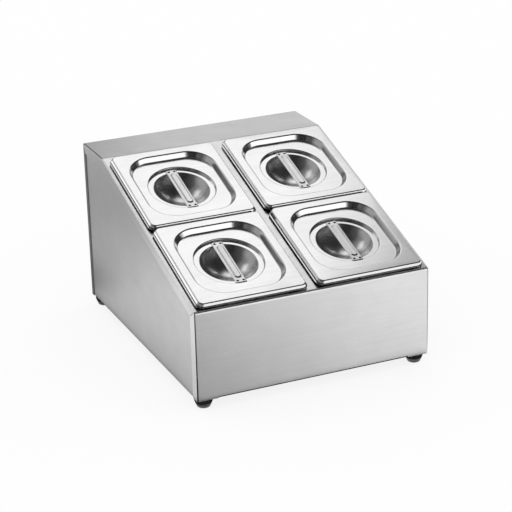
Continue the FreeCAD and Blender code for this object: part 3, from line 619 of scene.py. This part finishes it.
bowl_path = rounded_path([(bowl_radius + bowl_lip, ledge_z), (bowl_radius, ledge_z),
                          (bowl_radius - bowl_lip * math.cos(edge_angle),
                           ledge_z - bowl_lip * math.sin(edge_angle))], [bowl_edge])[:-1]
inner_start = math.asin((bowl_path[-1][0] - 0.0004) / ball)
bowl_angles = [inner_start * (1 - step / bowl_steps) for step in range(bowl_steps)]
bowl_path += [Vector((ball * math.sin(angle), ledge_z - bowl_depth + ball * (1 - math.cos(angle))))
              for angle in bowl_angles]
bowl_path.append(Vector((bowl_middle, ledge_z - bowl_depth)))
for place_name, seat in pan_places.items():
    lid = bmesh.new()
    lid_rings = inset_rings(seat, skirt_outline, skirt_path)
    lid_rings += inset_rings(seat, recess_outline, recess_path)
    lid_rings += [[seat @ Vector((*spot, height)) for spot in ring(radius, radius, radius)]
                  for radius, height in well_path + bowl_path]
    hoops(lid, lid_rings, filled=True)
    name = f"{place_name}_lid_pressing"
    lid_mesh = finish_shell(lid, name, lid_wall)
    drawn = lid_mesh.attributes.new("drawn", "FLOAT", "POINT")
    # Painted shade: the skirt's foot, in the gap over the pan's rim, is marked for a dark tone that stands in
    # for the shadow there.
    painted_shade = lid_mesh.attributes.new("painted_shade", "FLOAT", "POINT")
    to_seat = seat.inverted()
    for vertex, depth, shade in zip(lid_mesh.vertices, drawn.data, painted_shade.data):
        spot = to_seat @ vertex.co
        depth.value = spot.xy.length < bowl_radius
        in_skirt = abs(spot.x) > skirt_under_x or abs(spot.y) > skirt_under_y
        in_gap = spot.z < skirt_foot + 0.00005
        shade.value = in_skirt and in_gap and vertex.normal.dot(off_deck) < 0.3
    fit_piece(name, lid_mesh, lid_steel, f"{place_name}_lid_body", [f"{place_name}_lid"])


# Lid handles: a flat steel strap with bevelled edges across each bowl, stiffened by a long pressed bead and
# spot-welded to the ledge at both ends, with two round weld marks in each end.

strap_steel = steel("strap_steel", (0.70, 0.70, 0.70), (0.80, 0.80, 0.80), smooth=0.20, rough=0.28,
                    turn=(0, 0, math.pi / 2), streaks=700, length=20)
strap_wall = 0.0013
strap_top = ledge_z + 0.0014
strap_outline = (0.0084, 0.047, 0.002)
strap_run, strap_drop = 0.0012, 0.0007
strap_path = rounded_path([(0, strap_top - 0.0012), (0, strap_top - strap_drop), (strap_run, strap_top),
                           (0.002, strap_top)], [0.0002, 0.0003], steps=3)[:-1]
bead_outline = (0.0052, 0.037, 0.0050)
bead_run, bead_rise = 0.0017, 0.0013
bead_foot, bead_edge = 0.0006, 0.0012
bead_path = rounded_path([(-0.0012, strap_top), (0, strap_top), (bead_run, strap_top + bead_rise),
                          (0.0046, strap_top + bead_rise)], [bead_foot, bead_edge])
weld_tint = steel("weld_tint", (0.012, 0.012, 0.012), (0.05, 0.05, 0.05), smooth=0.4, rough=0.55, streaks=900,
                  length=1)
weld_x, weld_y, weld_radius, weld_flatness = 0.0045, 0.0425, 0.0019, 0.16
mark_shell = bmesh.new()
bmesh.ops.create_uvsphere(mark_shell, u_segments=20, v_segments=10, radius=weld_radius)
bmesh.ops.scale(mark_shell, vec=(1, 1, weld_flatness), verts=mark_shell.verts)
mark_mesh = bpy.data.meshes.new("weld_mark_pattern")
mark_shell.to_mesh(mark_mesh)
mark_shell.free()
mark_mesh.shade_smooth()
for place_name, seat in pan_places.items():
    strap = bmesh.new()
    strap_rings = inset_rings(seat, strap_outline, strap_path, per_corner=8, per_side=8)
    strap_rings += inset_rings(seat, bead_outline, bead_path, per_corner=8, per_side=8)
    hoops(strap, strap_rings, filled=True)
    name = f"{place_name}_strap"
    strap_mesh = finish_shell(strap, name, strap_wall)
    fit_piece(name, strap_mesh, strap_steel, f"{place_name}_lid_body", [f"{place_name}_lid_handle"])
    weld_spots = [seat @ Vector((x, y, strap_top)) for x in (-weld_x, weld_x) for y in (-weld_y, weld_y)]
    name = f"{place_name}_weld_marks"
    marks = spread(name, weld_spots, mark_mesh, weld_tint, tilt=slope)
    mark_piece = bpy.data.objects.new(name, marks)
    bpy.context.scene.collection.objects.link(mark_piece)
    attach(mark_piece, f"{place_name}_lid_body")


# Studio: a white floor under a plain white sky that gives an even light. Round the tray stand a dim tent,
# soft boxes and dark cards that only mirror-like surfaces see, and that give the steel its bright faces and
# dark lines. More dark cards lie on the floor, for the panels to mirror. These are painted shade on the
# floor:
# the one under the tray and the one by its right side stand in for the tray's own shadow there.

world = bpy.data.worlds.new("studio")
bpy.context.scene.world = world
world.use_nodes = True
sky = world.node_tree.nodes["Background"]
sky.inputs["Color"].default_value = (1, 1, 1, 1)
sky.inputs["Strength"].default_value = 1

floor_reach = 12
floor_mesh = bpy.data.meshes.new("floor")
floor_mesh.from_pydata([(-floor_reach, -floor_reach, 0), (floor_reach, -floor_reach, 0),
                        (floor_reach, floor_reach, 0), (-floor_reach, floor_reach, 0)], [], [(0, 1, 2, 3)])
floor = bpy.data.objects.new("floor", floor_mesh)
bpy.context.scene.collection.objects.link(floor)
floor_paint = bpy.data.materials.new("white_floor")
floor_paint.use_nodes = True
floor_nodes, floor_links = floor_paint.node_tree.nodes, floor_paint.node_tree.links
floor_surface = floor_nodes["Principled BSDF"]
floor_surface.inputs["Base Color"].default_value = (0.95, 0.95, 0.95, 1)
floor_surface.inputs["Roughness"].default_value = 0.9
floor_surface.inputs["Specular IOR Level"].default_value = 0
floor_glow = floor_nodes.new("ShaderNodeEmission")
floor_glow.inputs["Color"].default_value = (1, 1, 1, 1)
floor_rays = floor_nodes.new("ShaderNodeLightPath")
floor_seen = floor_nodes.new("ShaderNodeMath")
floor_seen.operation = "MAXIMUM"
floor_links.new(floor_rays.outputs["Is Camera Ray"], floor_seen.inputs[0])
floor_links.new(floor_rays.outputs["Is Glossy Ray"], floor_seen.inputs[1])
floor_seen_through = floor_nodes.new("ShaderNodeMath")
floor_seen_through.operation = "MAXIMUM"
floor_links.new(floor_seen.outputs[0], floor_seen_through.inputs[0])
floor_links.new(floor_rays.outputs["Is Transmission Ray"], floor_seen_through.inputs[1])
floor_share = floor_nodes.new("ShaderNodeMapRange")
floor_share.inputs["To Min"].default_value = 0
floor_share.inputs["To Max"].default_value = 0.86
floor_links.new(floor_seen_through.outputs[0], floor_share.inputs["Value"])
floor_mix = floor_nodes.new("ShaderNodeMixShader")
floor_links.new(floor_share.outputs["Result"], floor_mix.inputs["Fac"])
floor_links.new(floor_surface.outputs["BSDF"], floor_mix.inputs[1])
floor_links.new(floor_glow.outputs["Emission"], floor_mix.inputs[2])
floor_links.new(floor_mix.outputs["Shader"], floor_nodes["Material Output"].inputs["Surface"])
floor_mesh.materials.append(floor_paint)


def stage_mesh(name, shell, tone, soft=None, fade_from=(0.7, 0.7)):
    """A glowing or dark surface that only mirror-like surfaces see. soft is its half size, and its edges then
    fade from these shares of it."""
    mesh = bpy.data.meshes.new(name)
    shell.to_mesh(mesh)
    shell.free()
    paint = bpy.data.materials.new(name)
    paint.use_nodes = True
    nodes, links = paint.node_tree.nodes, paint.node_tree.links
    glow = nodes.new("ShaderNodeEmission")
    glow.inputs["Color"].default_value = (tone, tone, tone, 1)
    links.new(glow.outputs[0], nodes["Material Output"].inputs["Surface"])
    if soft:
        where = nodes.new("ShaderNodeTexCoord")
        apart = nodes.new("ShaderNodeSeparateXYZ")
        links.new(where.outputs["Object"], apart.inputs[0])
        fades = []
        for axis, half_size, start in zip("XY", soft, fade_from):
            size = nodes.new("ShaderNodeMath")
            size.operation = "ABSOLUTE"
            links.new(apart.outputs[axis], size.inputs[0])
            fade = nodes.new("ShaderNodeMapRange")
            fade.interpolation_type = "SMOOTHSTEP"
            fade.inputs["From Min"].default_value = half_size
            fade.inputs["From Max"].default_value = half_size * start
            links.new(size.outputs[0], fade.inputs["Value"])
            fades.append(fade)
        both = nodes.new("ShaderNodeMath")
        both.operation = "MULTIPLY"
        links.new(fades[0].outputs["Result"], both.inputs[0])
        links.new(fades[1].outputs["Result"], both.inputs[1])
        clear = nodes.new("ShaderNodeBsdfTransparent")
        mix = nodes.new("ShaderNodeMixShader")
        links.new(both.outputs[0], mix.inputs["Fac"])
        links.new(clear.outputs[0], mix.inputs[1])
        links.new(glow.outputs[0], mix.inputs[2])
        links.new(mix.outputs[0], nodes["Material Output"].inputs["Surface"])
    mesh.materials.append(paint)
    item = bpy.data.objects.new(name, mesh)
    item.visible_camera = False
    item.visible_diffuse = False
    item.visible_shadow = False
    item.visible_transmission = False
    bpy.context.scene.collection.objects.link(item)
    return item


def soft_card(name, half_wide, half_high, tone, fade_from):
    """A flat rectangle of the studio with soft edges."""
    shell = bmesh.new()
    bmesh.ops.create_grid(shell, x_segments=1, y_segments=1, size=1)
    bmesh.ops.scale(shell, vec=(half_wide, half_high, 1), verts=shell.verts)
    return stage_mesh(name, shell, tone, (half_wide, half_high), fade_from)


def soft_panel(name, way, wide, high, tone, fade_from=(0.7, 0.7), far=4.0):
    """A panel seen in the given direction from the tray, so many degrees wide and high."""
    half_wide = far * math.tan(math.radians(wide / 2))
    half_high = far * math.tan(math.radians(high / 2))
    panel = soft_card(name, half_wide, half_high, tone, fade_from)
    way = Vector(way).normalized()
    panel.location = Vector((0, 0, 0.15)) + way * far
    panel.rotation_euler = (-way).to_track_quat("Z", "Y").to_euler()


tent = bmesh.new()
bmesh.ops.create_uvsphere(tent, u_segments=64, v_segments=32, radius=8)
stage_mesh("tent", tent, tone=0.18)
soft_panel("back_box", (0.303, 0.490, 0.817), wide=36, high=24, tone=1.15, fade_from=(0.3, 0.7))
soft_panel("left_roof_box", (-0.366, 0.476, 0.80), wide=30, high=16, tone=1.1)
soft_panel("front_box", (0.56, -0.82, 0), wide=70, high=24, tone=1.35)
soft_panel("back_wall", (0.656, 0.680, 0.326), wide=64, high=36, tone=0.72)
soft_panel("left_wall", (-0.679, 0.729, 0.09), wide=56, high=23, tone=1.25, fade_from=(0.7, 0.5))
soft_panel("lens_card", (-0.36, -0.90, 0.24), wide=44, high=60, tone=0.015)
soft_panel("roof_card", (0.10, -0.62, 0.78), wide=110, high=84, tone=0.03, fade_from=(0.7, 0.85))
soft_panel("right_card", (0.98, -0.10, 0.30), wide=60, high=40, tone=0.03)
soft_panel("right_roof_card", (0.70, 0.10, 0.71), wide=56, high=44, tone=0.045, fade_from=(0.6, 0.6), far=4.3)
soft_panel("right_strip_box", (0.709, 0.410, 0.574), wide=7, high=15, tone=1.5, fade_from=(0.4, 0.6))
soft_panel("low_left_box", (-0.217, 0.757, 0.616), wide=24, high=20, tone=0.65, fade_from=(0.3, 0.3))
soft_panel("left_haze", (-0.807, 0.359, 0.469), wide=84, high=44, tone=0.37, fade_from=(0.5, 0.5), far=4.3)
soft_panel("left_front_card", (-0.64, -0.50, 0.574), wide=44, high=60, tone=0.06, fade_from=(0.4, 0.6),
           far=4.4)


def floor_card(name, centre, half, tone, fade_from, height, turn=0.0):
    """A dark card of painted shade that lies on the floor by the tray, turned about Z, so that the panels
    darken towards it in their reflections. Each has a height of its own, so that no two meet."""
    card = soft_card(name, *half, tone, fade_from)
    card.location = (*centre, height)
    card.rotation_euler.z = turn


# Each floor card is painted shade on the floor, which only the panels and other mirror-like surfaces see.
floor_card("front_floor_card", (-0.43, -0.55), (0.90, 0.34), tone=0.255, fade_from=(0, 0.85), height=0.002)
floor_card("near_floor_card", (-0.14, 0.16), (0.22, 0.44), tone=0.54, fade_from=(0, 0.6), height=0.003)
floor_card("left_floor_card", (-0.45, 0.75), (0.55, 0.68), tone=0.42, fade_from=(0.6, 0.15), height=0.004)
floor_card("corner_floor_card", (-0.415, -0.38), (0.255, 0.20), tone=0.01, fade_from=(0.9, 0.8), height=0.005)
floor_card("back_corner_card", (-0.19, 0.36), (0.085, 0.17), tone=0.2, fade_from=(0.2, 0.2), height=0.006)
# Painted shadow of the tray on the floor under it.
floor_card("under_card", (0, 0), (0.189, 0.241), tone=0.01, fade_from=(0.98, 0.98), height=0.007)
# Painted shade on the floor by the right side panel, where the tray's shadow falls.
floor_card("right_floor_card", (0.575, -0.168), (0.275, 0.275), tone=0.03, fade_from=(0.95, 0.95),
           height=0.008, turn=math.radians(-36.6))


# Camera: a long lens at the photograph's viewing angle, in front of the tray, to its left and above it, with
# the photograph's slight roll.

camera = bpy.data.objects.new("camera", bpy.data.cameras.new("camera"))
camera.data.sensor_width = 36
camera.data.lens = 126.02
camera.data.clip_end = 60
eye = (-0.9839, -2.2884, 1.0952)
yaw, pitch, roll = math.radians(23.449), math.radians(21.346), math.radians(-1.513)
ahead = Vector((math.sin(yaw) * math.cos(pitch), math.cos(yaw) * math.cos(pitch), -math.sin(pitch)))
level_right = Vector((math.cos(yaw), -math.sin(yaw), 0))
level_up = level_right.cross(ahead)
right = math.cos(roll) * level_right + math.sin(roll) * level_up
upward = -math.sin(roll) * level_right + math.cos(roll) * level_up
pose = Matrix((right, upward, -ahead)).transposed().to_4x4()
pose.translation = eye
camera.matrix_world = pose
bpy.context.scene.collection.objects.link(camera)
bpy.context.scene.camera = camera
bpy.context.scene.view_settings.view_transform = "Standard"
